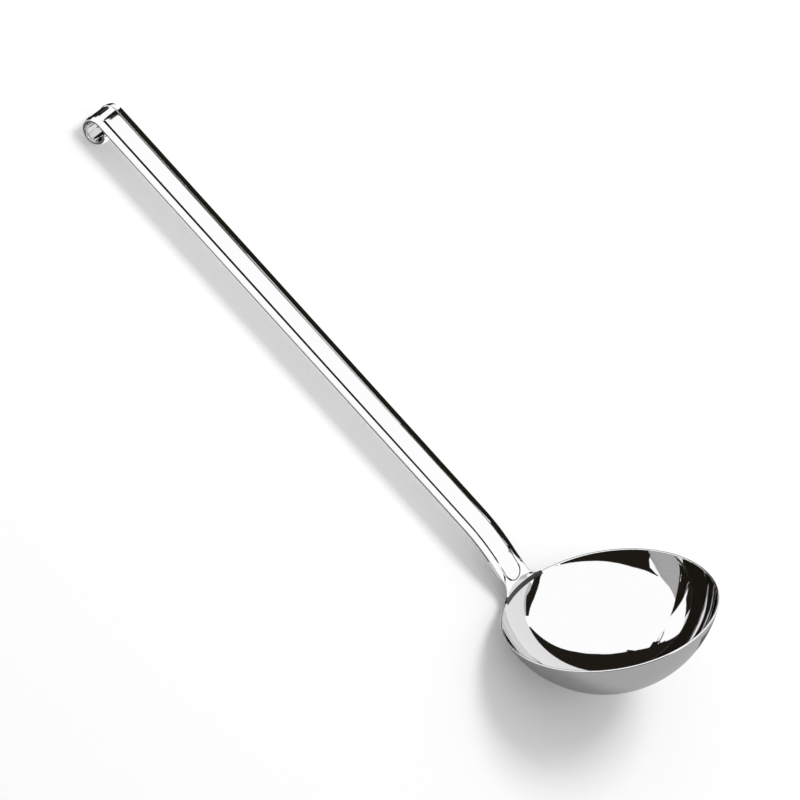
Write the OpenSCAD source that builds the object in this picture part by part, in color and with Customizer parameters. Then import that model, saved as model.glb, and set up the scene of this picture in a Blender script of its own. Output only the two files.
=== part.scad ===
// Steel ladle: a drawn bowl, a pressed strip handle that flares into the bowl's rim and is
// curled into a hanging eye, and the two welds that hold them together.
// Everything is drawn with the bowl upright and its rim level, then turned once into the
// pose in which the ladle lies on a table: bowl and eye both touch Z = 0, X runs along the
// handle from the bowl to the eye, and the origin is under the middle of its outline.

/* [Bowl] */
// Outside diameter of the bowl at its rim
bowl_d = 100; // [90:1:110]
// Depth from the rim to the outside of the bottom
bowl_depth = 35.5; // [32:0.5:40]
// Thickness of the bowl's sheet
bowl_t = 1; // [0.8:0.1:1.4]

/* [Handle] */
// Length along the handle from the corner of the neck to the end of the eye
handle_l = 272; // [220:1:320]
// Width of the handle's strip
handle_w = 17; // [15:0.5:20]
// Thickness of the strip at its middle
handle_t = 2; // [1.6:0.1:2.4]
// Angle between the handle and the plane of the rim
handle_angle = 45.8; // [42:0.2:50]
// Width of the rounded shoulder on each side of the flute
shoulder_w = 3.5; // [3:0.1:4.5]
// Radius of the shoulder's curve
shoulder_r = 16; // [14:1:24]
// Depth of the flute pressed into the face
flute_depth = 0.35; // [0.2:0.05:0.5]
// Bevel along the strip's edges
edge_bevel = 0.35; // [0.2:0.05:0.45]

/* [Neck] */
// Distance from the rim, along the wall's line, to the corner with the handle's line
neck_rise = 20; // [18:0.5:24]
// Radius of the fillets that widen the foot into the rim
flare_r = 6; // [5:0.5:8]
// Length over which the foot changes from the rim's curve to the handle's section
foot_l = 14; // [12:0.5:16]
// Distance from the rim to the rounded end of the flute
flute_start = 4; // [3:0.5:6]

/* [Eye] */
// Outside diameter of the hanging eye
eye_d = 14; // [13:0.5:18]
// Angle left between the eye's tip and the line where it would meet the strip's back
tip_gap_angle = 1.5; // [1:0.5:4]

/* [Welds] */
// Height of the weld between the rim and the handle's foot
weld_h = 1; // [0.8:0.1:1.4]
// Height of the weld's bead above the outside surface
weld_crown = 0.25; // [0.1:0.05:0.4]
// Radius of the bead that closes the eye
tack_r = 1; // [0.8:0.1:1.2]
// Length of the bead that closes the eye
tack_l = 12; // [8:0.5:14]

/* [Hidden] */
$fn = 96;
steel = [0.8, 0.8, 0.82];
weld_steel = [0.7, 0.7, 0.73];

// The bowl is a cap of a sphere, cut by the rim's plane at Z = 0
rim_r = bowl_d / 2;
sphere_r = (rim_r * rim_r + bowl_depth * bowl_depth) / (2 * bowl_depth);
sphere_z = sphere_r - bowl_depth;
inner_r = sphere_r - bowl_t;
lip_r = bowl_t / 2;
lip_x = sqrt(pow(sphere_r - lip_r, 2) - pow(sphere_z + lip_r, 2));
lip_angle = atan2(-lip_r - sphere_z, lip_x);

// The handle's face leaves the inside of the rim along the wall's own slope
face_x = sqrt(inner_r * inner_r - sphere_z * sphere_z);
wall_angle = atan2(face_x, sphere_z);
weld_run = weld_h / sin(wall_angle);
corner_x = face_x + neck_rise * cos(wall_angle);
corner_z = neck_rise * sin(wall_angle);

// One arc, tangent to the wall's line just above the weld and to the handle's line
bend_run = neck_rise - weld_run;
bend_angle = wall_angle - handle_angle;
bend_r = bend_run / tan(bend_angle / 2);
bend_x = face_x + weld_run * cos(wall_angle) + bend_r * sin(wall_angle);
bend_z = weld_run * sin(wall_angle) - bend_r * cos(wall_angle);
foot_angle = foot_l / bend_r * 180 / PI;

// Each stretch of the handle ends inside the next: how deep it reaches, and how much smaller it is
seat_run = 0.5;
seat = 0.04;

// The strip has a flat back, a flat middle and two shoulders that fall towards bevelled edges.
// The foot's edges are round, and at its top they fit inside the bevels.
flute_w = handle_w - 2 * shoulder_w;
shoulder_lead = handle_w / 2 - shoulder_w * 1.3;
function shoulder_drop(w) = w <= shoulder_lead ? 0
    : shoulder_r - sqrt(shoulder_r * shoulder_r - pow(w - shoulder_lead, 2));
edge_drop = shoulder_drop(handle_w / 2);
edge_r = (handle_t - edge_drop) / 2;
edge_w = handle_w / 2 - edge_r;

// The eye is curled from the strip, down and back until its tip meets the strip's back
eye_r = eye_d / 2;
bore_r = eye_r - handle_t;
eye_u = handle_l - eye_r;
curl_angle = 360 - acos(bore_r / eye_r) - tip_gap_angle;
tack_sink = tack_r / 2;

// The pose on the table: the line under the bowl and the eye that touches both
eye_x = corner_x + eye_u * cos(handle_angle) + eye_r * sin(handle_angle);
eye_z = corner_z + eye_u * sin(handle_angle) - eye_r * cos(handle_angle);
span = norm([eye_x, eye_z - sphere_z]);
rest_tilt = atan2(eye_z - sphere_z, eye_x) + asin((sphere_r - eye_r) / span);
table_drop = sphere_r - sphere_z * cos(rest_tilt);
low_x = sphere_z * sin(rest_tilt) - sphere_r;
high_x = eye_x * cos(rest_tilt) + eye_z * sin(rest_tilt) + eye_r;
mid_x = (low_x + high_x) / 2;

// Turns the upright ladle into its pose on the table, centred over the origin
module on_table() {
    translate([-mid_x, 0, table_drop])
        rotate([0, rest_tilt, 0])
            children();
}

// Places what is drawn with X along the handle, Z out of its face and its corner at the origin
module along_handle(u = 0) {
    translate([corner_x, 0, corner_z])
        rotate([0, -handle_angle, 0])
            translate([u, 0, 0])
                children();
}

// Turns a rotate_extrude so that its axis lies across the handle and 0 degrees points along X
module across() {
    rotate([90, 0, 0])
        children();
}

// The strip's section, with its face towards +Y and its middle at X = 0. An inset draws it
// smaller all round, so that a stretch can end inside the one that it runs into.
module strip_section(inset = 0) {
    half = handle_w / 2 - inset;
    low = inset - handle_t;
    difference() {
        intersection() {
            polygon([
                [-half + edge_bevel, low],
                [half - edge_bevel, low],
                [half, low + edge_bevel],
                [half, -edge_drop - edge_bevel],
                [half - edge_bevel - edge_drop, -inset],
                [-half + edge_bevel + edge_drop, -inset],
                [-half, -edge_drop - edge_bevel],
                [-half, low + edge_bevel]
            ]);
            union() {
                translate([-shoulder_lead, -handle_t])
                    square([2 * shoulder_lead, handle_t]);
                for (side = [-1, 1])
                    translate([side * shoulder_lead, -shoulder_r])
                        circle(r = shoulder_r - inset);
            }
        }
        children();
    }
}

// The flute's own section, open above the face
module flute_section(inset = 0) {
    translate([-flute_w / 2 - inset, -flute_depth - inset])
        square([flute_w + 2 * inset, 2 * flute_depth]);
}

// Sweeps a section round an axis across the handle; the section's face is on radius r
module sweep_section(r, angle) {
    rotate_extrude(angle = angle)
        translate([r, 0])
            rotate(-90)
                children();
}

// Smooth change from 0 to 1
function ease(x) = let (c = min(max(x, 0), 1)) c * c * (3 - 2 * c);

// Half width of the foot at a distance s along the face from the rim
function half_width(s) = s >= flare_r ? handle_w / 2
    : handle_w / 2 + flare_r - sqrt(flare_r * flare_r - pow(flare_r - s, 2));

// Angle of the face at a distance s along it from the weld, and the point in the XZ plane
function face_angle(s) = wall_angle - s / bend_r * 180 / PI;
function face_point(s) = [bend_x - bend_r * sin(face_angle(s)), bend_z + bend_r * cos(face_angle(s))];

// One ring of the foot: across the face, round one edge, back along the back, round the other.
// Towards the top it shrinks by a hair, so that its end sits inside the plain strip.
foot_rings = 15;
face_steps = 24;
edge_steps = 6;
function foot_section(s) =
    let (
        blend = ease(s / foot_l),
        t = bowl_t + (handle_t - bowl_t) * blend,
        half = half_width(s + weld_run),
        r = (t - (t - 2 * edge_r) * blend) / 2,
        side = half - r,
        drop_scale = edge_w / side,
        side_scale = 1 - blend * seat / half,
        depth_scale = 1 - blend * 2 * seat / t,
        outline = concat(
            [for (i = [0 : face_steps])
                let (y = side * (2 * i / face_steps - 1)) [y, -blend * shoulder_drop(abs(y) * drop_scale)]],
            [for (i = [1 : edge_steps - 1])
                [side + r * sin(180 * i / edge_steps), r - t + r * cos(180 * i / edge_steps)]],
            [for (i = [0 : face_steps])
                [side * (1 - 2 * i / face_steps), -t]],
            [for (i = [1 : edge_steps - 1])
                [-side - r * sin(180 * i / edge_steps), r - t - r * cos(180 * i / edge_steps)]]
        )
    )
    [for (p = outline) [p.x * side_scale, (p.y + t / 2) * depth_scale - t / 2]];

// The ring's points in space. At the weld the ring is level and follows the rim's own curve.
// Towards the top it turns square to the face and straightens.
function foot_ring(s) =
    let (
        at = face_point(s),
        tilt = face_angle(s),
        lean = 1 - ease(s / foot_l),
        cut = tilt + (90 - tilt) * lean,
        depth_scale = 1 / cos(cut - tilt)
    )
    [for (p = foot_section(s))
        let (bow = at.x - sqrt(at.x * at.x - p.x * p.x))
        [
            at.x - p.y * depth_scale * sin(cut) - lean * bow,
            p.x,
            at.y + p.y * depth_scale * cos(cut)
        ]];

// The flared foot, from the weld up to the plain strip
module foot() {
    ring_size = 2 * (face_steps + 1) + 2 * (edge_steps - 1);
    points = [for (k = [0 : foot_rings]) each foot_ring((foot_l + seat_run) * k / foot_rings)];
    walls = [for (k = [0 : foot_rings - 1]) for (i = [0 : ring_size - 1])
        let (
            a = k * ring_size + i,
            b = k * ring_size + (i + 1) % ring_size
        )
        each [[a, b, b + ring_size], [a, b + ring_size, a + ring_size]]];
    bottom = [for (i = [0 : ring_size - 1]) ring_size - 1 - i];
    top = [for (i = [0 : ring_size - 1]) foot_rings * ring_size + i];
    polyhedron(points = points, faces = concat(walls, [bottom, top]));
}

// The plain strip round the neck's bend, above the foot
module bend() {
    along_handle(bend_run)
        translate([0, 0, -bend_r])
            across()
                rotate(90)
                    sweep_section(bend_r, bend_angle - foot_angle)
                        strip_section();
}

// The flute's rounded end, cut along the bend square to the face where the flute starts
module flute_end() {
    end_angle = face_angle(flute_start - weld_run);
    reach = bend_r * sin(end_angle - handle_angle);
    intersection() {
        translate([bend_x, 0, bend_z])
            across()
                rotate(90 + handle_angle - foot_angle)
                    rotate_extrude(angle = bend_angle + foot_angle)
                        translate([bend_r - flute_depth, -flute_w / 2])
                            square([handle_t, flute_w]);
        translate([bend_x, 0, bend_z])
            rotate([0, -end_angle, 0])
                linear_extrude(bend_r + handle_t) {
                    translate([flute_w / 2, 0])
                        circle(r = flute_w / 2);
                    translate([flute_w / 2, -flute_w / 2])
                        square([reach, flute_w]);
                }
    }
}

// The straight strip, which ends inside the bend and inside the eye's curl
module grip() {
    along_handle(bend_run - seat_run)
        rotate([90, 0, 90])
            linear_extrude(eye_u - bend_run + 2 * seat_run)
                strip_section(seat)
                    flute_section(seat);
}

// The curl at the end of the strip: a half turn down and under, and the rest of it back up
module curl() {
    for (sweep = [180, 180 - curl_angle])
        along_handle(eye_u)
            translate([0, 0, -eye_r])
                across()
                    rotate(-90)
                        sweep_section(eye_r, sweep)
                            strip_section()
                                flute_section();
}

// The bowl's wall and its rounded lip, to be turned about Z
module bowl_section() {
    reach = 2 * sphere_r;
    intersection() {
        difference() {
            translate([0, sphere_z])
                circle(r = sphere_r);
            translate([0, sphere_z])
                circle(r = inner_r);
        }
        polygon([
            [0, sphere_z],
            [reach * cos(lip_angle), sphere_z + reach * sin(lip_angle)],
            [reach, -reach],
            [0, -reach]
        ]);
    }
    translate([lip_x, -lip_r])
        circle(r = lip_r);
}

module bowl() {
    color(steel)
        on_table()
            rotate_extrude()
                bowl_section();
}

module handle() {
    color(steel)
        on_table() {
            difference() {
                union() {
                    foot();
                    bend();
                }
                flute_end();
            }
            grip();
            curl();
        }
}

// The weld follows the rim under the foot, flush inside and slightly raised outside
module neck_weld() {
    half_angle = asin((handle_w / 2 + flare_r) / rim_r) + 1;
    top_x = face_x + weld_run * cos(wall_angle);
    back_x = top_x + bowl_t / sin(wall_angle);
    color(weld_steel)
        on_table()
            intersection() {
                rotate(-half_angle)
                    rotate_extrude(angle = 2 * half_angle)
                        difference() {
                            polygon([
                                [face_x - lip_r, -lip_r],
                                [face_x, 0],
                                [top_x, weld_h],
                                [back_x, weld_h],
                                [rim_r + weld_crown, 0],
                                [rim_r + weld_crown, -lip_r]
                            ]);
                            translate([0, sphere_z])
                                circle(r = inner_r);
                            bowl_section();
                        }
                rotate([90, 0, 90])
                    linear_extrude(2 * rim_r)
                        difference() {
                            translate([-handle_w / 2 - flare_r, -bowl_t])
                                square([handle_w + 2 * flare_r, flare_r + bowl_t]);
                            for (side = [-1, 1])
                                translate([side * (handle_w / 2 + flare_r), flare_r])
                                    circle(r = flare_r);
                        }
            }
}

// The bead in the corner between the eye's tip and the strip's back
module eye_weld() {
    centre_z = eye_r - handle_t - tack_sink;
    centre_u = sqrt(pow(eye_r + tack_sink, 2) - pow(centre_z, 2));
    color(weld_steel)
        on_table()
            difference() {
                along_handle(eye_u - centre_u)
                    translate([0, 0, centre_z - eye_r])
                        rotate([90, 0, 0])
                            cylinder(r = tack_r, h = tack_l, center = true);
                grip();
                curl();
            }
}

bowl();
handle();
neck_weld();
eye_weld();
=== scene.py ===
"""A polished steel ladle that lies on a white table between a softbox and dark studio cards.

The ladle rests on its bowl and its hanging eye. X runs along the handle from the bowl to the
eye, Z is up from the table, and the camera looks down from the +Y side. All sizes are metres.
"""

import logging
import math
from dataclasses import dataclass, field
from enum import Enum

import bpy
from mathutils import Matrix, Vector

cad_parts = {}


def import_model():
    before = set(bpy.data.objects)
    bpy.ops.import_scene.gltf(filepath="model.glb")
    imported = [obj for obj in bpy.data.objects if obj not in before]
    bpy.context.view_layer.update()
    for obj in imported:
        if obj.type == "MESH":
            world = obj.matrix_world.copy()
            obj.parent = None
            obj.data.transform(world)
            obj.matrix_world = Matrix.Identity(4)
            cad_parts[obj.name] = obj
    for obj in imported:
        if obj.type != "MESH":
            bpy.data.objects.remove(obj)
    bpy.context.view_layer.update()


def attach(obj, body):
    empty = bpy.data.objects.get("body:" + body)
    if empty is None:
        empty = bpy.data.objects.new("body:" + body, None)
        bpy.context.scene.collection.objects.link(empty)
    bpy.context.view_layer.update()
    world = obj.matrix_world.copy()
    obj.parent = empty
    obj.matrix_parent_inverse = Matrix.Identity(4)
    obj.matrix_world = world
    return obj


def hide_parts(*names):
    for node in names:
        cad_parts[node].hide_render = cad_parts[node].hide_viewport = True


MM = 0.001
TINY = 1e-9

# Sockets of the colour mix node, whose names repeat for each kind of data
MIX_FACTOR, MIX_FROM, MIX_TO, MIX_RESULT = 0, 6, 7, 2

# Brightness of the cards and the tent; 0 is a black card
TENT_LEVEL = 1.32
GLOW_LEVEL = 1.2
GREY_LEVEL = 0.62
SHADE_LEVEL = 0.15
BLACK_CARD = (0.017, 0.014, 0.010, 1)
WHITE_CARD = (1, 1, 1, 1)

# Heights of the flat cards over the table, the lowest first, so that none shares a plane
LOW, MIDDLE, HIGH, TOP = 0.2 * MM, 0.4 * MM, 0.6 * MM, 0.8 * MM

log = logging.getLogger("ladle")


class Node(Enum):
    """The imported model's nodes."""

    BOWL = "bowl"
    HANDLE = "handle"
    NECK_WELD = "neck_weld"
    EYE_WELD = "eye_weld"


class Slot(Enum):
    """The record's material slots."""

    STEEL = "polished_steel"
    WELD = "weld_steel"


def ease(x: float) -> float:
    """Changes smoothly from 0 to 1 while x goes from 0 to 1."""
    c = min(max(x, 0.0), 1.0)
    return c * c * (3 - 2 * c)


def steps(start: float, end: float, pitch: float) -> list[float]:
    """Divides a stretch evenly.

    Args:
        start: Where the stretch begins.
        end: Where it ends.
        pitch: The widest step allowed.

    Returns:
        The places from start up to, and without, end.
    """
    count = max(1, math.ceil((end - start) / pitch - 1e-6))
    return [start + (end - start) * i / count for i in range(count)]


@dataclass
class LadleSizes:
    """The ladle's driving sizes, as in the solid model, in metres."""

    bowl_d: float = 100 * MM
    bowl_depth: float = 35.5 * MM
    bowl_t: float = 1 * MM
    handle_l: float = 272 * MM
    handle_w: float = 17 * MM
    handle_t: float = 2 * MM
    handle_angle: float = math.radians(45.8)
    shoulder_w: float = 3.5 * MM
    shoulder_r: float = 16 * MM
    flute_depth: float = 0.35 * MM
    neck_rise: float = 20 * MM
    flare_r: float = 6 * MM
    foot_l: float = 14 * MM
    flute_start: float = 4 * MM
    shoulder_soft: float = 1.3
    eye_d: float = 14 * MM
    tip_gap_angle: float = math.radians(1.5)
    weld_h: float = 1 * MM
    weld_crown: float = 0.25 * MM
    tack_r: float = 1 * MM
    tack_l: float = 12 * MM

    def __post_init__(self) -> None:
        """Works out the sizes that follow from the driving ones."""
        self.rim_r = self.bowl_d / 2
        self.sphere_r = (self.rim_r ** 2 + self.bowl_depth ** 2) / (2 * self.bowl_depth)
        self.sphere_z = self.sphere_r - self.bowl_depth
        self.inner_r = self.sphere_r - self.bowl_t
        self.face_x = math.sqrt(self.inner_r ** 2 - self.sphere_z ** 2)
        self.wall_angle = math.atan2(self.face_x, self.sphere_z)
        self.weld_run = self.weld_h / math.sin(self.wall_angle)
        self.corner_x = self.face_x + self.neck_rise * math.cos(self.wall_angle)
        self.corner_z = self.neck_rise * math.sin(self.wall_angle)
        self.bend_run = self.neck_rise - self.weld_run
        self.bend_angle = self.wall_angle - self.handle_angle
        self.bend_r = self.bend_run / math.tan(self.bend_angle / 2)
        self.flute_w = self.handle_w - 2 * self.shoulder_w
        self.shoulder_lead = self.handle_w / 2 - self.shoulder_w * self.shoulder_soft
        self.eye_r = self.eye_d / 2
        self.bore_r = self.eye_r - self.handle_t
        self.eye_u = self.handle_l - self.eye_r
        self.curl_angle = 2 * math.pi - math.acos(self.bore_r / self.eye_r) - self.tip_gap_angle


class LyingPose:
    """The pose on the table, in which the bowl and the eye touch the same plane."""

    def __init__(self, sizes: LadleSizes) -> None:
        """Finds the tilt and the shift from the upright ladle.

        Args:
            sizes: The ladle's sizes.
        """
        a = sizes.handle_angle
        eye_x = sizes.corner_x + sizes.eye_u * math.cos(a) + sizes.eye_r * math.sin(a)
        eye_z = sizes.corner_z + sizes.eye_u * math.sin(a) - sizes.eye_r * math.cos(a)
        rise = eye_z - sizes.sphere_z
        span = math.hypot(eye_x, rise)
        self.tilt = math.atan2(rise, eye_x) + math.asin((sizes.sphere_r - sizes.eye_r) / span)
        low_x = sizes.sphere_z * math.sin(self.tilt) - sizes.sphere_r
        high_x = eye_x * math.cos(self.tilt) + eye_z * math.sin(self.tilt) + sizes.eye_r
        drop = sizes.sphere_r - sizes.sphere_z * math.cos(self.tilt)
        shift = Matrix.Translation((-(low_x + high_x) / 2, 0, drop))
        self.matrix = shift @ Matrix.Rotation(self.tilt, 4, "Y")

    def place(self, x: float, y: float, z: float) -> Vector:
        """Turns a point of the upright ladle into its place on the table."""
        return self.matrix @ Vector((x, y, z))


class Workshop:
    """Small steps of mesh work that several pieces share."""

    MERGE = 0.001 * MM

    @staticmethod
    def clear_hand() -> None:
        """Leaves edit mode and deselects everything."""
        if bpy.context.object and bpy.context.object.mode != "OBJECT":
            bpy.ops.object.mode_set(mode="OBJECT")
        bpy.ops.object.select_all(action="DESELECT")

    @staticmethod
    def named(name: str) -> bpy.types.Object:
        """Names the object that was just added.

        Args:
            name: The piece's name.

        Returns:
            The object in hand.
        """
        piece = bpy.context.object
        piece.name = name
        piece.data.name = name
        return piece

    @staticmethod
    def pick_nothing(piece: bpy.types.Object) -> None:
        """Deselects every part of a piece's mesh.

        Args:
            piece: The piece in object mode.
        """
        mesh = piece.data
        for part in (mesh.polygons, mesh.edges, mesh.vertices):
            part.foreach_set("select", [False] * len(part))

    @staticmethod
    def apply(piece: bpy.types.Object, kind: str, **settings: object) -> None:
        """Adds a modifier, sets it and applies it.

        Args:
            piece: The piece that is in hand.
            kind: The modifier's type.
            settings: The modifier's settings by name.
        """
        modifier = piece.modifiers.new(kind.lower(), kind)
        for key, value in settings.items():
            setattr(modifier, key, value)
        bpy.ops.object.modifier_apply(modifier=modifier.name)

    @staticmethod
    def settle(piece: bpy.types.Object) -> None:
        """Puts the piece's place into its mesh and leaves the object at the origin."""
        bpy.ops.object.transform_apply(location=True, rotation=True, scale=True)
        piece.data.update()

    @staticmethod
    def face_outwards() -> None:
        """Merges the double vertices of the piece in hand and turns every face outwards."""
        bpy.ops.object.mode_set(mode="EDIT")
        bpy.ops.mesh.select_all(action="SELECT")
        bpy.ops.mesh.remove_doubles(threshold=Workshop.MERGE)
        bpy.ops.mesh.normals_make_consistent(inside=False)
        bpy.ops.object.mode_set(mode="OBJECT")


class NodeBench:
    """Adds and joins shader nodes, so that a finish reads as a short list of steps."""

    def __init__(self, name: str) -> None:
        """Starts an empty material.

        Args:
            name: The material's name.
        """
        self.material = bpy.data.materials.new(name)
        self.material.use_nodes = True
        self.tree = self.material.node_tree
        self.tree.nodes.clear()

    @classmethod
    def over(cls, tree: bpy.types.NodeTree) -> "NodeBench":
        """Takes an existing node tree, such as the world's, and empties it."""
        bench = cls.__new__(cls)
        bench.tree = tree
        tree.nodes.clear()
        return bench

    def finish(self, surface: bpy.types.Node, piece: bpy.types.Object) -> None:
        """Ends the material in a surface and gives it to a piece."""
        output = self.add("ShaderNodeOutputMaterial")
        self.join(surface.outputs[0], output.inputs["Surface"])
        piece.data.materials.clear()
        piece.data.materials.append(self.material)

    def add(self, kind: str, **settings: object) -> bpy.types.Node:
        """Adds a node.

        Args:
            kind: The node's type.
            settings: Its properties by name.

        Returns:
            The new node.
        """
        node = self.tree.nodes.new(kind)
        for key, value in settings.items():
            setattr(node, key, value)
        return node

    def join(self, source: bpy.types.NodeSocket, target: bpy.types.NodeSocket) -> None:
        """Links one socket to another."""
        self.tree.links.new(source, target)


@dataclass(frozen=True)
class PaintedReflectionRing:
    """The thin dark half ring round the flute's pressed end: a painted dark reflection in the
    face's colour.
    """

    centre: Vector
    along: Vector
    out: Vector
    radius: float
    width: float = 0.48 * MM
    depth: float = 0.95 * MM
    # Near-black colour of the painted dark reflection
    colour: tuple[float, float, float] = (0.06, 0.06, 0.055)


@dataclass(frozen=True)
class SteelFinish:
    """Steel with fine polishing lines, faint buffing clouds and hairline scratches, and optionally
    a painted dark reflection round the flute's end.
    """

    name: str
    colour: tuple[float, float, float]
    roughness_low: float
    roughness_high: float
    cloud_scale: float
    line_scale: float
    line_depth: float
    ripple_scale: float
    ripple_depth: float
    cloud_detail: float = 3.0
    line_detail: float = 2.0
    line_stretch: tuple[float, float, float] = (0.03, 1.0, 1.0)
    ripple_detail: float = 1.0

    def material(self, painted_reflection: PaintedReflectionRing | None = None) -> bpy.types.Material:
        """Builds the node material.

        Args:
            painted_reflection: The painted dark reflection round the flute's end, for a finish that
                shows it.

        Returns:
            A metal whose roughness and bump come from noise on Object coordinates.
        """
        bench = NodeBench(self.name)
        place = bench.add("ShaderNodeTexCoord").outputs["Object"]
        clouds = self._noise(bench, place, self.cloud_scale, self.cloud_detail)
        shader = bench.add("ShaderNodeBsdfPrincipled")
        shader.inputs["Metallic"].default_value = 1.0
        shader.inputs["Base Color"].default_value = (*self.colour, 1)
        roughness = bench.add("ShaderNodeMapRange")
        roughness.inputs["To Min"].default_value = self.roughness_low
        roughness.inputs["To Max"].default_value = self.roughness_high
        bench.join(clouds, roughness.inputs["Value"])
        bench.join(roughness.outputs["Result"], shader.inputs["Roughness"])
        stretch = bench.add("ShaderNodeMapping")
        stretch.inputs["Scale"].default_value = self.line_stretch
        bench.join(place, stretch.inputs["Vector"])
        lines = self._noise(bench, stretch.outputs["Vector"], self.line_scale, self.line_detail)
        scratches = self._bump(bench, lines, self.line_depth)
        ripple = self._noise(bench, place, self.ripple_scale, self.ripple_detail)
        wave = self._bump(bench, ripple, self.ripple_depth)
        bench.join(scratches.outputs["Normal"], wave.inputs["Normal"])
        bench.join(wave.outputs["Normal"], shader.inputs["Normal"])
        # Painted reflection: a dark half ring in the base colour round the flute's end.
        if painted_reflection:
            self._paint_reflection(bench, place, shader, painted_reflection)
        output = bench.add("ShaderNodeOutputMaterial")
        bench.join(shader.outputs["BSDF"], output.inputs["Surface"])
        return bench.material

    def _paint_reflection(self, bench: NodeBench, place: bpy.types.NodeSocket, shader: bpy.types.Node,
                painted_reflection: PaintedReflectionRing) -> None:
        """Paints the dark reflection's colour into the shader on the half ring, on the strip's face
        only.
        """
        offset = bench.add("ShaderNodeVectorMath", operation="SUBTRACT")
        offset.inputs[1].default_value = painted_reflection.centre
        bench.join(place, offset.inputs[0])
        reach = bench.add("ShaderNodeVectorMath", operation="LENGTH")
        bench.join(offset.outputs["Vector"], reach.inputs[0])
        factor = bench.add("ShaderNodeMath", operation="COMPARE")
        factor.inputs[1].default_value = painted_reflection.radius
        factor.inputs[2].default_value = painted_reflection.width / 2
        bench.join(reach.outputs["Value"], factor.inputs[0])
        for way, test, limit in ((painted_reflection.along, "LESS_THAN", 0.0),
                                 (painted_reflection.out, "GREATER_THAN", -painted_reflection.depth)):
            part = bench.add("ShaderNodeVectorMath", operation="DOT_PRODUCT")
            part.inputs[1].default_value = way
            bench.join(offset.outputs["Vector"], part.inputs[0])
            side = bench.add("ShaderNodeMath", operation=test)
            side.inputs[1].default_value = limit
            bench.join(part.outputs["Value"], side.inputs[0])
            both = bench.add("ShaderNodeMath", operation="MULTIPLY")
            bench.join(factor.outputs["Value"], both.inputs[0])
            bench.join(side.outputs["Value"], both.inputs[1])
            factor = both
        mix = bench.add("ShaderNodeMix", data_type="RGBA")
        mix.inputs[MIX_FROM].default_value = (*self.colour, 1)
        mix.inputs[MIX_TO].default_value = (*painted_reflection.colour, 1)
        bench.join(factor.outputs["Value"], mix.inputs[MIX_FACTOR])
        bench.join(mix.outputs[MIX_RESULT], shader.inputs["Base Color"])

    @staticmethod
    def _noise(bench: NodeBench, place: bpy.types.NodeSocket, scale: float,
               detail: float) -> bpy.types.NodeSocket:
        """Adds a noise and gives its value."""
        noise = bench.add("ShaderNodeTexNoise", noise_dimensions="3D")
        noise.inputs["Scale"].default_value = scale
        noise.inputs["Detail"].default_value = detail
        bench.join(place, noise.inputs["Vector"])
        return noise.outputs["Fac"]

    @staticmethod
    def _bump(bench: NodeBench, height: bpy.types.NodeSocket, depth: float) -> bpy.types.Node:
        """Adds a bump of a real depth in metres."""
        bump = bench.add("ShaderNodeBump")
        bump.inputs["Strength"].default_value = 1.0
        bump.inputs["Distance"].default_value = depth
        bench.join(height, bump.inputs["Height"])
        return bump


POLISHED = SteelFinish(
    name="polished_steel",
    colour=(0.74, 0.74, 0.745),
    roughness_low=0.015,
    roughness_high=0.045,
    cloud_scale=60.0,
    line_scale=4000.0,
    line_depth=0.0002 * MM,
    ripple_scale=70.0,
    ripple_depth=0.004 * MM,
)

# Painted shade: this near-black finish goes on the neck weld and stands in for the dark shade line
# where the rim meets the handle.
SEAM_PAINTED_SHADE = SteelFinish(
    name="seam_painted_shade",
    colour=(0.075, 0.074, 0.07),
    roughness_low=0.2,
    roughness_high=0.32,
    cloud_scale=400.0,
    line_scale=6000.0,
    line_depth=0.001 * MM,
    ripple_scale=900.0,
    ripple_depth=0.01 * MM,
)

GROUND_WELD = SteelFinish(
    name="weld_steel",
    colour=(0.8, 0.8, 0.81),
    roughness_low=0.12,
    roughness_high=0.22,
    cloud_scale=400.0,
    line_scale=6000.0,
    line_depth=0.001 * MM,
    ripple_scale=900.0,
    ripple_depth=0.02 * MM,
)


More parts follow.
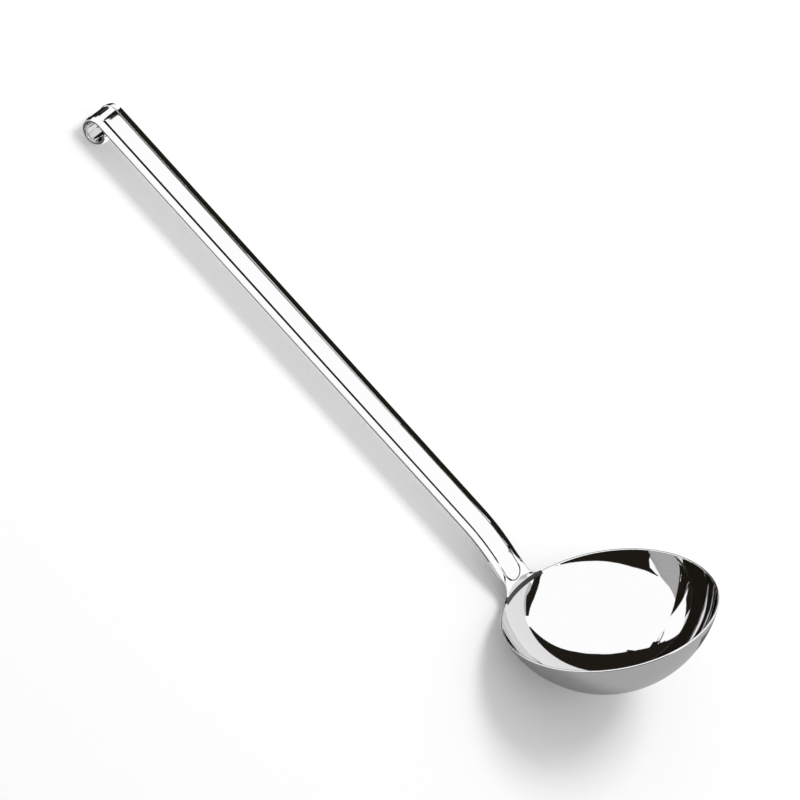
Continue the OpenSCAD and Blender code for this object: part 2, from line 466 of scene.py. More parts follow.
@dataclass
class Bowl:
    """The drawn bowl: a cap of a sphere with a wall of even thickness and a rounded lip."""

    sizes: LadleSizes
    pose: LyingPose
    segments: int = 256
    rings: int = 160
    lip_steps: int = 8
    lip_share: float = 0.49
    level_slack: float = 0.02 * MM
    smooth_angle: float = math.radians(50)
    piece: bpy.types.Object = field(init=False)

    def build(self) -> bpy.types.Object:
        """Makes the bowl and lays it on the table.

        Returns:
            The finished piece.
        """
        self._draw_cap()
        self._give_wall()
        self._round_lip()
        self.piece.matrix_world = self.pose.matrix
        Workshop.settle(self.piece)
        bpy.ops.object.shade_smooth_by_angle(angle=self.smooth_angle)
        return self.piece

    def _rim_level(self) -> float:
        """Gives the height at which the outer sphere is cut, so that the lip ends at the rim."""
        s = self.sizes
        lip_r = s.bowl_t / 2
        middle_r = s.sphere_r - lip_r
        lip_angle = -math.asin((s.sphere_z + lip_r) / middle_r) + lip_r / middle_r
        return s.sphere_z + s.sphere_r * math.sin(lip_angle)

    def _draw_cap(self) -> None:
        """Adds the sphere and cuts it at the rim."""
        s = self.sizes
        Workshop.clear_hand()
        bpy.ops.mesh.primitive_uv_sphere_add(
            segments=self.segments, ring_count=self.rings, radius=s.sphere_r,
            location=(0, 0, s.sphere_z))
        self.piece = Workshop.named("bowl_shell")
        Workshop.settle(self.piece)
        bpy.ops.object.mode_set(mode="EDIT")
        bpy.ops.mesh.select_all(action="SELECT")
        bpy.ops.mesh.bisect(
            plane_co=(0, 0, self._rim_level()), plane_no=(0, 0, 1),
            clear_outer=True, clear_inner=False)
        bpy.ops.object.mode_set(mode="OBJECT")

    def _give_wall(self) -> None:
        """Thickens the sheet towards the inside."""
        Workshop.apply(
            self.piece, "SOLIDIFY", thickness=self.sizes.bowl_t, offset=-1.0, use_even_offset=True)

    def _round_lip(self) -> None:
        """Rounds the two edges of the rim until they meet in the middle of the sheet."""
        s = self.sizes
        outer_z = self._rim_level()
        level = outer_z - s.bowl_t
        centre = Vector((0, 0, s.sphere_z))
        Workshop.pick_nothing(self.piece)
        mesh = self.piece.data
        inner_z = s.sphere_z + (outer_z - s.sphere_z) * s.inner_r / s.sphere_r
        for edge in mesh.edges:
            a, b = (mesh.vertices[i].co for i in edge.vertices)
            if min(a.z, b.z) < level:
                continue
            on_outer = all(abs(p.z - outer_z) < self.level_slack for p in (a, b))
            on_inner = all(abs(p.z - inner_z) < self.level_slack for p in (a, b))
            same_skin = abs((a - centre).length - (b - centre).length) < s.bowl_t / 4
            edge.select = (on_outer or on_inner) and same_skin
        bpy.ops.object.mode_set(mode="EDIT")
        bpy.ops.mesh.select_mode(type="EDGE")
        bpy.ops.mesh.bevel(
            offset=s.bowl_t * self.lip_share, segments=self.lip_steps,
            affect="EDGES", offset_type="OFFSET")
        bpy.ops.mesh.select_mode(type="VERT")
        bpy.ops.object.mode_set(mode="OBJECT")


@dataclass
class StripLine:
    """The line that the middle of the strip's face follows, in the upright ladle's XZ plane."""

    sizes: LadleSizes

    def __post_init__(self) -> None:
        """Finds where each stretch of the line ends, measured along it from the rim."""
        s = self.sizes
        self.bend_start = s.weld_run
        self.bend_end = self.bend_start + s.bend_r * s.bend_angle
        self.curl_start = self.bend_end + s.eye_u - s.bend_run
        self.end = self.curl_start + s.eye_r * s.curl_angle
        across, up = math.cos(s.wall_angle), math.sin(s.wall_angle)
        self.bend_x = s.face_x + s.weld_run * across + s.bend_r * up
        self.bend_z = s.weld_run * up - s.bend_r * across

    def at(self, run: float) -> tuple[float, float, float]:
        """Gives a place on the line.

        Args:
            run: The distance along the face from the rim; below the rim it is negative.

        Returns:
            X, Z and the line's angle above the level.
        """
        s = self.sizes
        if run < 0:
            angle = s.wall_angle + run / s.inner_r
            x = s.inner_r * math.sin(angle)
            return x, s.sphere_z - s.inner_r * math.cos(angle), angle
        if run < self.bend_start:
            x = s.face_x + run * math.cos(s.wall_angle)
            return x, run * math.sin(s.wall_angle), s.wall_angle
        if run < self.bend_end:
            angle = s.wall_angle - (run - self.bend_start) / s.bend_r
            x = self.bend_x - s.bend_r * math.sin(angle)
            return x, self.bend_z + s.bend_r * math.cos(angle), angle
        along = min(run, self.curl_start) - self.bend_end + s.bend_run
        a = s.handle_angle
        x = s.corner_x + along * math.cos(a)
        z = s.corner_z + along * math.sin(a)
        if run < self.curl_start:
            return x, z, a
        turn = (run - self.curl_start) / s.eye_r
        centre_x = x + s.eye_r * math.sin(a)
        centre_z = z - s.eye_r * math.cos(a)
        angle = a - turn
        return centre_x - s.eye_r * math.sin(angle), centre_z + s.eye_r * math.cos(angle), angle


@dataclass
class StripHandle:
    """The handle: one strip that is flared at the foot, pressed, bent at the neck and curled."""

    sizes: LadleSizes
    pose: LyingPose
    line: StripLine
    name: str = "fluted_handle"
    edge_fillet: float = 0.4 * MM
    face_fillet_share: float = 0.45
    back_fillet_share: float = 0.95
    fillet_steps: int = 6
    back_steps: int = 12
    flute_edge: float = 1.8 * MM
    far_flute_edge: float = 0.12 * MM
    flute_edge_steps: int = 16
    flute_guard: float = 0.015 * MM
    shoulder_pitch: float = 0.25 * MM
    flute_floor_pitch: float = 0.2 * MM
    foot_pitch: float = 0.2 * MM
    flute_end_pitch: float = 0.1 * MM
    bend_pitch: float = 0.6 * MM
    grip_pitch: float = 5 * MM
    curl_pitch: float = 0.3 * MM
    smooth_angle: float = math.radians(60)
    piece: bpy.types.Object = field(init=False)

    def stations(self) -> list[float]:
        """Lists the places along the strip at which it gets a cross-section."""
        s = self.sizes
        flute_top = s.flute_start + s.flute_w / 2 + self.flute_edge
        return [
            *steps(s.weld_run, s.flute_start - self.flute_edge, self.foot_pitch),
            *steps(s.flute_start - self.flute_edge, flute_top, self.flute_end_pitch),
            *steps(flute_top, self.line.bend_end, self.bend_pitch),
            *steps(self.line.bend_end, self.line.curl_start, self.grip_pitch),
            *steps(self.line.curl_start, self.line.end, self.curl_pitch),
            self.line.end,
        ]

    def columns(self) -> list[float]:
        """Lists the places across the face, as parts of its half width between the fillets.

        The flute's wall gets fine columns and a guard column on each side, so that its slope
        doesn't bend the shading of the faces beside it.
        """
        s = self.sizes
        flute = s.flute_w / 2
        slope = (s.handle_w / 2 - s.shoulder_lead) / s.shoulder_r
        reach = s.handle_w / 2 - self.edge_fillet * (1 - slope)
        sides = []
        for edge in (self.far_flute_edge, self.flute_edge):
            low, high = flute - edge / 2, flute + edge / 2
            sides.append([
                *steps(0, low - self.flute_guard, self.flute_floor_pitch),
                low - self.flute_guard,
                *steps(low, high, edge / self.flute_edge_steps),
                high,
                *steps(high + self.flute_guard, reach, self.shoulder_pitch),
                reach,
            ])
        far, near = sides
        return [-y / reach for y in reversed(far[1:])] + [y / reach for y in near]

    def half_width(self, run: float) -> float:
        """Gives the strip's half width, which widens in two fillets towards the rim."""
        s = self.sizes
        up = max(run, 0.0)
        if up >= s.flare_r:
            return s.handle_w / 2
        return s.handle_w / 2 + s.flare_r - math.sqrt(s.flare_r ** 2 - (s.flare_r - up) ** 2)

    def blend(self, run: float) -> float:
        """Says how far the foot has changed from the rim's sheet to the strip."""
        return ease((run - self.sizes.weld_run) / self.sizes.foot_l)

    def shoulder_drop(self, across: float) -> float:
        """Gives how far the shoulder lies below the face."""
        s = self.sizes
        out = abs(across) - s.shoulder_lead
        return 0.0 if out <= 0 else s.shoulder_r - math.sqrt(s.shoulder_r ** 2 - out * out)

    def flute_drop(self, run: float, across: float) -> float:
        """Gives how far the flute lies below the face.

        Args:
            run: The distance along the face from the rim.
            across: The distance across it from the middle.

        Returns:
            The depth, which fades over the near edge softly and over the far edge sharply.
        """
        s = self.sizes
        radius = s.flute_w / 2
        before = s.flute_start + radius - run
        reach = math.hypot(across, before) if before > 0 else abs(across)
        edge = self.flute_edge
        if across < 0:
            turn = across / max(reach, TINY)
            edge += (self.far_flute_edge - edge) * turn * turn
        return s.flute_depth * ease((radius - reach) / edge + 0.5)

    def section(self, run: float) -> list[tuple[float, float]]:
        """Draws the strip's outline at one station.

        Args:
            run: The distance along the face from the rim.

        Returns:
            Points across the strip and out of its face, all the way round.
        """
        s = self.sizes
        blend = self.blend(run)
        half = self.half_width(run)
        thick = s.bowl_t + (s.handle_t - s.bowl_t) * blend
        fillet = min(self.edge_fillet, thick * self.face_fillet_share)
        slope = math.asin((s.handle_w / 2 - s.shoulder_lead) / s.shoulder_r) * blend
        side = half - fillet * (1 - math.sin(slope))
        fit = (s.handle_w / 2) / half
        face = []
        for across in (column * side for column in self.columns()):
            drop = blend * self.shoulder_drop(across * fit) + self.flute_drop(run, across)
            face.append((across, -drop))
        edge_n = face[-1][1]
        far_edge = self._edge(side, edge_n, slope, fillet, thick)
        near_edge = [(-y, n) for y, n in reversed(far_edge)]
        reach = half - fillet
        back = [(reach * (1 - 2 * i / self.back_steps), -thick) for i in range(1, self.back_steps)]
        return [*face, *far_edge, *back, *near_edge]

    def _edge(self, side: float, edge_n: float, slope: float, fillet: float,
              thick: float) -> list[tuple[float, float]]:
        """Draws one edge of the strip, from its face round to its back."""
        centre_y = side - fillet * math.sin(slope)
        centre_n = edge_n - fillet * math.cos(slope)
        upper = []
        for i in range(1, self.fillet_steps + 1):
            angle = (math.pi / 2 - slope) * (1 - i / self.fillet_steps)
            upper.append((centre_y + fillet * math.cos(angle), centre_n + fillet * math.sin(angle)))
        low_r = min(fillet, (upper[-1][1] + thick) * self.back_fillet_share)
        low_y = upper[-1][0] - low_r
        lower = []
        for i in range(self.fillet_steps + 1):
            angle = -math.pi / 2 * i / self.fillet_steps
            lower.append((low_y + low_r * math.cos(angle), low_r - thick + low_r * math.sin(angle)))
        return [*upper, *lower]

    def painted_reflection(self) -> PaintedReflectionRing:
        """Gives the place of the painted dark reflection: a half ring about the middle of the
        flute's round end.
        """
        s = self.sizes
        x, z, angle = self.line.at(s.flute_start + s.flute_w / 2)
        centre = self.pose.place(x, 0, z)
        along = self.pose.place(x + math.cos(angle), 0, z + math.sin(angle)) - centre
        out = self.pose.place(x - math.sin(angle), 0, z + math.cos(angle)) - centre
        return PaintedReflectionRing(centre, along, out, s.flute_w / 2)

    def section_in_space(self, run: float) -> list[Vector]:
        """Places one cross-section: level and bowed with the rim at the weld, square further up.

        Args:
            run: The distance along the face from the rim.

        Returns:
            The section's points on the table.
        """
        x, z, angle = self.line.at(run)
        lean = 1 - self.blend(run)
        cut = angle + (math.pi / 2 - angle) * lean
        stretch = 1 / math.cos(cut - angle)
        points = []
        for across, out in self.section(run):
            bow = x - math.sqrt(x * x - across * across) if lean > 0 else 0.0
            deep = out * stretch
            points.append(self.pose.place(
                x - deep * math.sin(cut) - lean * bow, across, z + deep * math.cos(cut)))
        return points

    def build(self) -> bpy.types.Object:
        """Rolls the blank, presses and bends it, and closes its ends.

        Returns:
            The finished piece.
        """
        runs = self.stations()
        ring = len(self.section(runs[0]))
        self._roll_blank(len(runs), ring)
        self._shape_blank(runs, ring)
        self._close_ends()
        Workshop.face_outwards()
        bpy.ops.object.shade_smooth_by_angle(angle=self.smooth_angle)
        return self.piece

    def _roll_blank(self, rows: int, ring: int) -> None:
        """Adds the flat blank that is folded round the section, one row for each station."""
        Workshop.clear_hand()
        bpy.ops.mesh.primitive_grid_add(
            x_subdivisions=rows - 1, y_subdivisions=ring, size=1.0, location=(0, 0, 0))
        self.piece = Workshop.named(self.name)

    def _shape_blank(self, runs: list[float], ring: int) -> None:
        """Moves each row of the blank to its cross-section."""
        rings = [self.section_in_space(run) for run in runs]
        last = len(runs) - 1
        for vertex in self.piece.data.vertices:
            row = round((vertex.co.x + 0.5) * last)
            column = round((vertex.co.y + 0.5) * ring) % ring
            vertex.co = rings[row][column]

    def _close_ends(self) -> None:
        """Merges the seam and fills the two open ends."""
        bpy.ops.object.mode_set(mode="EDIT")
        bpy.ops.mesh.select_all(action="SELECT")
        bpy.ops.mesh.remove_doubles(threshold=Workshop.MERGE)
        bpy.ops.mesh.select_all(action="DESELECT")
        bpy.ops.mesh.select_mode(type="EDGE")
        bpy.ops.mesh.select_non_manifold()
        bpy.ops.mesh.edge_face_add()
        bpy.ops.mesh.select_mode(type="VERT")
        bpy.ops.object.mode_set(mode="OBJECT")


@dataclass
class NeckWeld(StripHandle):
    """The weld that joins the foot to the rim, ground flush with the bowl's inside."""

    name: str = "neck_seam"
    tuck: float = 1.2 * MM
    proud: float = 0.012 * MM
    groove: float = 0.05 * MM
    foot_pitch: float = 0.06 * MM

    def stations(self) -> list[float]:
        """Lists the stations from below the lip up to the handle's foot."""
        s = self.sizes
        return [*steps(-self.tuck, s.weld_run, self.foot_pitch), s.weld_run]

    def section(self, run: float) -> list[tuple[float, float]]:
        """Draws the weld's outline: the strip's own, a hair proud, with a crown on its back."""
        s = self.sizes
        near = 1 - abs(run / s.weld_run) if abs(run) < s.weld_run else 0.0
        crown = s.weld_crown * math.sqrt(max(near, 0.0))
        rise = min(max(run / s.weld_run, 0.0), 1.0)
        raised = self.proud * (1 - ease(rise)) - self.groove * math.sin(math.pi * rise) ** 2
        points = []
        for across, out in StripHandle.section(self, run):
            depth = -out / s.bowl_t
            points.append((across, out + raised * (1 - depth) - crown * depth))
        return points


@dataclass
class EyeWeld:
    """The bead that closes the eye, in the corner between the tip and the strip's back."""

    sizes: LadleSizes
    pose: LyingPose
    segments: int = 48
    rows: int = 40
    sag: float = 0.12
    waves: float = 5
    end_power: int = 6
    tip_reach: float = 0.9999
    smooth_angle: float = math.radians(60)
    piece: bpy.types.Object = field(init=False)

    def build(self) -> bpy.types.Object:
        """Makes the bead and lays it in its corner.

        Returns:
            The finished piece.
        """
        s = self.sizes
        sink = s.tack_r / 2
        centre_z = s.eye_r - s.handle_t - sink
        back = math.sqrt((s.eye_r + sink) ** 2 - centre_z ** 2)
        along = s.eye_u - back
        a = s.handle_angle
        down = centre_z - s.eye_r
        x = s.corner_x + along * math.cos(a) - down * math.sin(a)
        z = s.corner_z + along * math.sin(a) + down * math.cos(a)
        Workshop.clear_hand()
        bpy.ops.mesh.primitive_uv_sphere_add(
            segments=self.segments, ring_count=self.rows, radius=1.0, location=(0, 0, 0))
        self.piece = Workshop.named("eye_bead")
        centre = self.pose.place(x, 0, z)
        for vertex in self.piece.data.vertices:
            self._press(vertex)
            vertex.co = Vector((vertex.co.x, vertex.co.z, vertex.co.y)) + centre
        Workshop.face_outwards()
        bpy.ops.object.shade_smooth_by_angle(angle=self.smooth_angle)
        return self.piece

    def _press(self, vertex: bpy.types.MeshVertex) -> None:
        """Draws the ball out into a bead with full ends and a slightly waved back."""
        s = self.sizes
        co = vertex.co
        reach = abs(co.z)
        ball = math.sqrt(max(1 - reach ** 2, TINY))
        girth = math.sqrt(max(1 - reach ** self.end_power, 0.0)) / ball
        wave = 1 - self.sag * (0.5 + 0.5 * math.cos(co.z * self.waves * math.pi))
        radius = s.tack_r * girth * wave if reach < self.tip_reach else 0.0
        vertex.co = Vector((co.x * radius, co.y * radius, co.z * s.tack_l / 2))


Point = tuple[float, float, float]


def flat(height: float, *places: tuple[float, float]) -> tuple[Point, ...]:
    """Lays a card's outline, a row of X and Y, flat at a height over the table."""
    return tuple((x, y, height) for x, y in places)


def facing(y: float, *places: tuple[float, float]) -> tuple[Point, ...]:
    """Stands a card's outline, a row of X and Z, up along the handle."""
    return tuple((x, y, z) for x, z in places)


def side_on(x: float, *places: tuple[float, float]) -> tuple[Point, ...]:
    """Stands a card's outline, a row of Y and Z, up across the handle."""
    return tuple((x, y, z) for y, z in places)


class Seen(Enum):
    """Which reflections show a card: every one, the first only, or those after two."""

    ALWAYS = "always"
    FIRST = "first"
    AFTER_TWO = "after two"


@dataclass(frozen=True)
class Card:
    """A flat studio card that only reflections show."""

    name: str
    corners: tuple[Point, ...]
    level: float = 0.0
    cover: float = 1.0
    seen: Seen = Seen.ALWAYS

    def build(self) -> bpy.types.Object:
        """Cuts the card.

        Returns:
            The card, with its corners in place.
        """
        Workshop.clear_hand()
        bpy.ops.mesh.primitive_circle_add(
            vertices=len(self.corners), fill_type="NGON", location=(0, 0, 0))
        card = Workshop.named(self.name)
        for vertex, corner in zip(card.data.vertices, self.corners):
            vertex.co = corner
        return card


@dataclass(frozen=True)
class Screen:
    """An upright studio screen bent round the bowl, which only reflections show.

    Its edge is a row of azimuth, lower elevation and upper elevation in degrees, seen from its
    centre. Azimuth runs from +X towards -Y.
    """

    name: str
    radius: float
    edge: tuple[tuple[float, float, float], ...]
    centre: Point = (-0.13, 0.0, 0.03)
    seen: Seen = Seen.ALWAYS
    level: float = 0.0
    cover: float = 1.0

    def build(self) -> bpy.types.Object:
        """Bends the screen.

        Returns:
            The screen, with its edges in place.
        """
        Workshop.clear_hand()
        last = len(self.edge) - 1
        bpy.ops.mesh.primitive_grid_add(
            x_subdivisions=last, y_subdivisions=1, size=1.0, location=(0, 0, 0))
        screen = Workshop.named(self.name)
        for vertex in screen.data.vertices:
            azimuth, low, high = self.edge[round((vertex.co.x + 0.5) * last)]
            rise = high if vertex.co.y > 0 else low
            vertex.co = self._corner(math.radians(azimuth), math.radians(rise))
        return screen

    def _corner(self, azimuth: float, rise: float) -> Vector:
        """Places one corner of the screen."""
        way = Vector((math.cos(azimuth), -math.sin(azimuth), math.tan(rise)))
        return Vector(self.centre) + way * self.radius


@dataclass(frozen=True)
class Softbox:
    """A square softbox that lights the table and is aimed at the origin."""

    name: str
    place: Point
    size: float
    watts: float

    def build(self) -> None:
        """Hangs the softbox, which no reflection shows."""
        light = bpy.data.lights.new(self.name, "AREA")
        light.shape = "SQUARE"
        light.size = self.size
        light.energy = self.watts
        lamp = bpy.data.objects.new(self.name, light)
        bpy.context.scene.collection.objects.link(lamp)
        lamp.location = self.place
        lamp.rotation_mode = "QUATERNION"
        lamp.rotation_quaternion = (-Vector(self.place)).to_track_quat("-Z", "Y")
        lamp.visible_glossy = False


@dataclass
class Studio:
    """The table, the light tent, the softbox, the cards that the steel reflects, and the camera."""

    aim: Vector = field(default_factory=lambda: Vector((-7.6, -26.15, 0.0)) * MM)
    azimuth: float = math.radians(92.671)
    elevation: float = math.radians(49.242)
    roll: float = math.radians(45.825)
    distance: float = 2652 * MM
    lens: float = 260.18
    sensor_width: float = 36.0
    clip_start: float = 0.05
    clip_end: float = 60.0
    table_size: float = 12.0
    table_drop: float = 0.05 * MM
    table_colour: float = 0.95
    table_glow: float = 0.04
    fill_strength: float = 0.68
    tent_radius: float = 9.0
    tent_segments: int = 48
    tent_rings: int = 24
    between_depths: float = 1.5
    softbox: Softbox = Softbox("softbox", (0.05, -0.6, 1.5), 0.65, 10.8)
    cards: tuple[Card, ...] = (
        Card("long_bar", facing(
            -0.12, (-0.145, 0.075), (-0.10, 0.095), (-0.06, 0.115), (0.0, 0.132), (0.10, 0.1395),
            (0.165, 0.1385), (0.190, 0.1395), (0.1945, 0.150), (0.1955, 0.156), (0.228, 0.158),
            (0.245, 0.140), (0.243, 0.120), (0.215, 0.100), (0.205, 0.085), (0.205, 0.001),
            (-0.06, 0.001), (-0.10, 0.05), (-0.145, 0.055))),
        Card("neck_flag", facing(
            -0.0205, (-0.122, 0.019), (-0.102, 0.019), (-0.102, 0.036), (-0.122, 0.036)),
            level=TENT_LEVEL, seen=Seen.FIRST),
        Card("fin", side_on(
            0.0, (-0.04, 0.0005), (-0.053, 0.05), (-0.065, 0.075), (-0.078, 0.09), (-0.085, 0.06),
            (-0.085, 0.0005))),
        Card("far_stub", side_on(
            0.3, (-0.06, 0.0005), (-0.06, 0.046), (-0.108, 0.046), (-0.108, 0.0005))),
        Card("black_sheet", flat(
            MIDDLE, (-0.085, -0.034), (0.0, -0.043), (0.1, -0.055), (0.19, -0.055), (0.19, -0.3),
            (-0.085, -0.3))),
        Card("hook_sheet", flat(
            MIDDLE, (0.183, 0.004), (0.25, 0.004), (0.3, -0.03), (0.3, -0.095), (0.25, -0.075),
            (0.2, -0.056), (0.183, -0.02)), seen=Seen.FIRST),
        Card("hook_glow", flat(
            HIGH, (0.145, -0.035), (0.182, -0.035), (0.182, -0.008), (0.145, -0.008)),
            level=GLOW_LEVEL, seen=Seen.AFTER_TWO),
        # Painted shadow: a black sheet on the table under the neck, seen only in reflections, for
        # the neck's contact shadow.
        Card("neck_painted_shadow", flat(
            MIDDLE, (-0.102, -0.022), (-0.083, -0.022), (-0.083, 0.002), (-0.102, 0.002))),
        Card("bowl_sheet", flat(
            TOP, (-0.178, -0.06), (-0.2, -0.06), (-0.235, -0.083), (-0.2, -0.09),
            (-0.172, -0.085)), level=SHADE_LEVEL),
        # Painted shadow: a dark strip on the table along the handle's near edge, seen only in
        # reflections, for the handle's shadow there.
        Card("edge_painted_shadow", flat(
            MIDDLE, (-0.09, 0.0145), (0.16, 0.0125), (0.165, 0.0088), (0.186, 0.0088),
            (0.186, 0.021), (-0.09, 0.0215)), level=SHADE_LEVEL),
        Card("white_strip", flat(
            LOW, (-0.085, -0.033), (0.0, -0.042), (0.1, -0.054), (5.9, -0.054), (5.9, 0.006),
            (-0.08, 0.006)), level=TENT_LEVEL),
        Card("white_sheet", flat(
            LOW, (-0.02, 0.035), (5.9, 0.035), (5.9, 5.9), (3.0, 5.9), (0.4, 0.7), (0.12, 0.25),
            (0.03, 0.12)), level=TENT_LEVEL),
        Card("veil", flat(
            HIGH, (-0.10, -0.12), (-0.10, 0.02), (-0.025, 0.035), (0.025, 0.12), (0.115, 0.25),
            (0.39, 0.7), (0.39, 3.0), (-4.0, 3.0), (-4.0, -3.0), (-0.10, -3.0)), cover=0.52),
    )
    screens: tuple[Screen, ...] = (
        Screen("near_screen", 0.6, (
            (-182, -4, 50), (-150, -4, 52), (-130, -4, 49), (-110, -4, 42), (-100, -4, 37),
            (-90, -4, 31), (-80, -4, 24), (-76, -3, 21), (-72, 2, 17), (-66, 5, 11), (-58, 2, 4),
            (-55, 0, 1))),
        Screen("ribbon", 0.6, (
            (107, 29.5, 33), (113, 32.5, 38), (118.5, 34.5, 42), (125, 36.5, 46), (132.5, 41, 48.5),
            (140, 42.5, 50), (148, 42.5, 50), (155, 42.5, 48.5), (160, 45, 48))),
        Screen("grey_ribbon", 0.61, (
            (107, 24, 30), (113, 25, 33), (118.5, 27, 35), (125, 29, 37), (132.5, 31, 42),
            (140, 34, 43)), level=GREY_LEVEL),
        Screen("collar", 0.062, (
            (34, -25, 0), (40, -25, 14), (48, -25, 19), (58, -25, 21), (70, -25, 18),
            (83, -25, 6))),
        Screen("neck_screen", 0.1, (
            (-104, -3, 58), (-60, -3, 60)), (-0.09, 0.0, 0.011), Seen.AFTER_TWO),
        Screen("inner_screen", 0.5, (
            (-60, -3, 70), (-42.5, -3, 70), (-42, -3, 31), (-37, -3, 26), (-31, -3, 20),
            (-25, -3, 13), (-19, -3, 4), (-17, -3, -1)), seen=Seen.AFTER_TWO),
        Screen("wall_screen", 0.12, (
            (-55, -5, 45), (-10, -5, 45)), (-0.13, -0.033, 0.014), Seen.AFTER_TWO),
        Screen("skirt", 0.025, (
            (-75, -22, -4), (-10, -22, -4)), (-0.09, 0.0, 0.011), Seen.AFTER_TWO),
    )

    def build(self) -> None:
        """Sets up everything that isn't the ladle."""
        self._table()
        self._world()
        self._tent()
        self.softbox.build()
        for card in (*self.cards, *self.screens):
            self._only_reflected(card.build(), card)
        self._camera()

    def _table(self) -> None:
        """Lays the white table top, which glows a little wherever it is seen."""
        Workshop.clear_hand()
        bpy.ops.mesh.primitive_plane_add(
            size=self.table_size, location=(0, 0, -self.table_drop))
        table = Workshop.named("table")
        bench = NodeBench("white_table")
        paint = bench.add("ShaderNodeBsdfDiffuse")
        paint.inputs["Color"].default_value = (self.table_colour,) * 3 + (1,)
        glow = bench.add("ShaderNodeEmission")
        level = bench.add("ShaderNodeMath", operation="MULTIPLY")
        level.inputs[1].default_value = self.table_glow
        bench.join(self._seen(bench), level.inputs[0])
        bench.join(level.outputs[0], glow.inputs["Strength"])
        both = bench.add("ShaderNodeAddShader")
        bench.join(paint.outputs[0], both.inputs[0])
        bench.join(glow.outputs[0], both.inputs[1])
        bench.finish(both, table)

    @staticmethod
    def _seen(bench: NodeBench) -> bpy.types.NodeSocket:
        """Gives 1 for the camera, for reflections and for what is seen through glass."""
        path = bench.add("ShaderNodeLightPath")
        first = bench.add("ShaderNodeMath", operation="ADD", use_clamp=True)
        bench.join(path.outputs["Is Camera Ray"], first.inputs[0])
        bench.join(path.outputs["Is Glossy Ray"], first.inputs[1])
        second = bench.add("ShaderNodeMath", operation="ADD", use_clamp=True)
        bench.join(first.outputs[0], second.inputs[0])
        bench.join(path.outputs["Is Transmission Ray"], second.inputs[1])
        return second.outputs[0]

    def _world(self) -> None:
        """Makes the world white where it is seen and a soft fill elsewhere."""
        world = bpy.data.worlds.new("studio")
        bpy.context.scene.world = world
        world.use_nodes = True
        bench = NodeBench.over(world.node_tree)
        level = bench.add("ShaderNodeMapRange")
        level.inputs["To Min"].default_value = self.fill_strength
        level.inputs["To Max"].default_value = 1.0
        bench.join(self._seen(bench), level.inputs["Value"])
        sky = bench.add("ShaderNodeBackground")
        sky.inputs["Color"].default_value = (1, 1, 1, 1)
        bench.join(level.outputs["Result"], sky.inputs["Strength"])
        output = bench.add("ShaderNodeOutputWorld")
        bench.join(sky.outputs[0], output.inputs["Surface"])

    def _tent(self) -> None:
        """Puts up the light tent: the bright cloth that the polished steel reflects."""
        Workshop.clear_hand()
        bpy.ops.mesh.primitive_uv_sphere_add(
            segments=self.tent_segments, ring_count=self.tent_rings, radius=self.tent_radius)
        self._only_reflected(Workshop.named("tent"), Card("tent", (), level=TENT_LEVEL))

    def _only_reflected(self, thing: bpy.types.Object, card: Card | Screen) -> None:
        """Makes a card or screen glow at its level and hides it from all but reflections.

        Args:
            thing: The card's or the screen's object.
            card: What it was made from.
        """
        bench = NodeBench(card.name)
        glow = bench.add("ShaderNodeEmission")
        glow.inputs["Color"].default_value = WHITE_CARD if card.level else BLACK_CARD
        glow.inputs["Strength"].default_value = card.level or 1.0
        surface = bench.add("ShaderNodeMixShader")
        bench.join(bench.add("ShaderNodeBsdfTransparent").outputs[0], surface.inputs[1])
        bench.join(glow.outputs[0], surface.inputs[2])
        surface.inputs[0].default_value = card.cover
        if card.seen is not Seen.ALWAYS:
            path = bench.add("ShaderNodeLightPath")
            test = "LESS_THAN" if card.seen is Seen.FIRST else "GREATER_THAN"
            count = bench.add("ShaderNodeMath", operation=test)
            count.inputs[1].default_value = self.between_depths
            bench.join(path.outputs["Glossy Depth"], count.inputs[0])
            bench.join(count.outputs[0], surface.inputs[0])
        bench.finish(surface, thing)
        bench.material.cycles.emission_sampling = "NONE"
        thing.visible_camera = False
        thing.visible_diffuse = False
        thing.visible_shadow = False

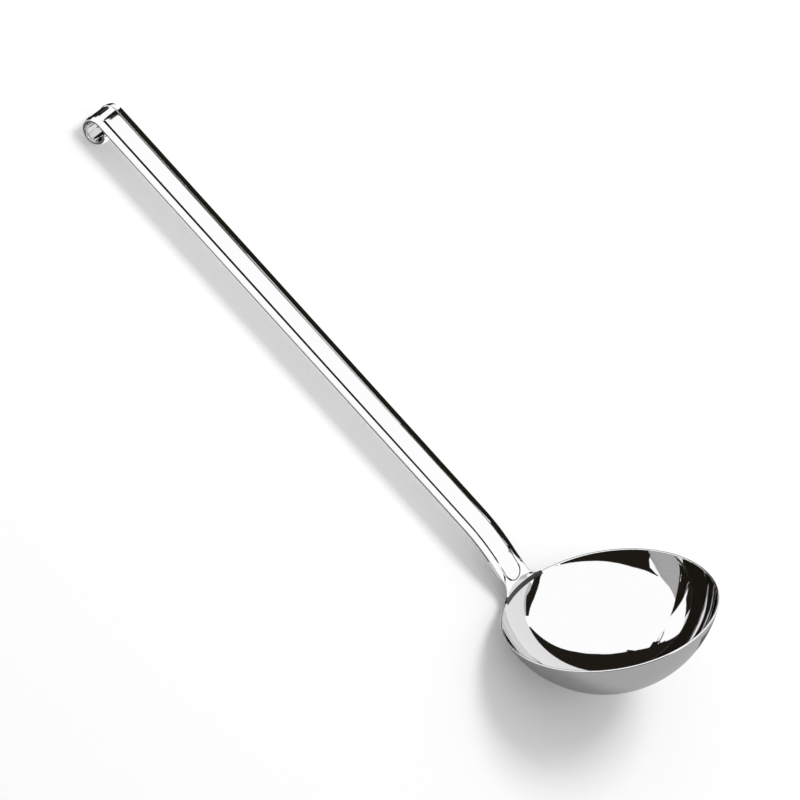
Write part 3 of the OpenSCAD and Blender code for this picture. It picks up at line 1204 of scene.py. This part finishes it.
    def _camera(self) -> None:
        """Puts the camera at the photograph's angle with a long lens."""
        data = bpy.data.cameras.new("camera")
        data.lens = self.lens
        data.sensor_width = self.sensor_width
        data.clip_start = self.clip_start
        data.clip_end = self.clip_end
        camera = bpy.data.objects.new("camera", data)
        bpy.context.scene.collection.objects.link(camera)
        bpy.context.scene.camera = camera
        e, a = self.elevation, self.azimuth
        back = Vector((math.cos(e) * math.cos(a), math.cos(e) * math.sin(a), math.sin(e)))
        level = Vector((0, 0, 1)).cross(back).normalized()
        rise = back.cross(level)
        right = level * math.cos(self.roll) + rise * math.sin(self.roll)
        up = back.cross(right)
        turn = Matrix((right, up, back)).transposed().to_4x4()
        camera.matrix_world = Matrix.Translation(self.aim + back * self.distance) @ turn


def dress(piece: bpy.types.Object, material: bpy.types.Material) -> None:
    """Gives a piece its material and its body.

    Args:
        piece: The finished piece.
        material: Its material.
    """
    piece.data.materials.clear()
    piece.data.materials.append(material)
    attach(piece, "root")


def corners(box: tuple[Vector, Vector]) -> list[list[float]]:
    """Turns a box into plain lists of numbers."""
    return [list(corner) for corner in box]


def main() -> None:
    """Builds the ladle piece by piece, then the studio."""
    logging.basicConfig(level=logging.INFO, format="%(name)s: %(message)s")
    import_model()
    bpy.context.scene.view_settings.view_transform = "Standard"
    sizes = LadleSizes()
    pose = LyingPose(sizes)
    line = StripLine(sizes)
    handle = StripHandle(sizes, pose, line)
    works = [
        (Bowl(sizes, pose), Node.BOWL, POLISHED.material(), Slot.STEEL),
        (handle, Node.HANDLE, POLISHED.material(handle.painted_reflection()), Slot.STEEL),
        # The neck weld's finish is painted shade for the dark line at the joint.
        (NeckWeld(sizes, pose, line), Node.NECK_WELD, SEAM_PAINTED_SHADE.material(), Slot.WELD),
        (EyeWeld(sizes, pose), Node.EYE_WELD, GROUND_WELD.material(), Slot.WELD),
    ]
    for work, node, material, slot in works:
        piece = work.build()
        dress(piece, material)
        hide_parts(node.value)
        log.info("%s stands for %s with %d faces", piece.name, node.value, len(piece.data.polygons))
    Studio().build()


if __name__ == "__main__":
    main()
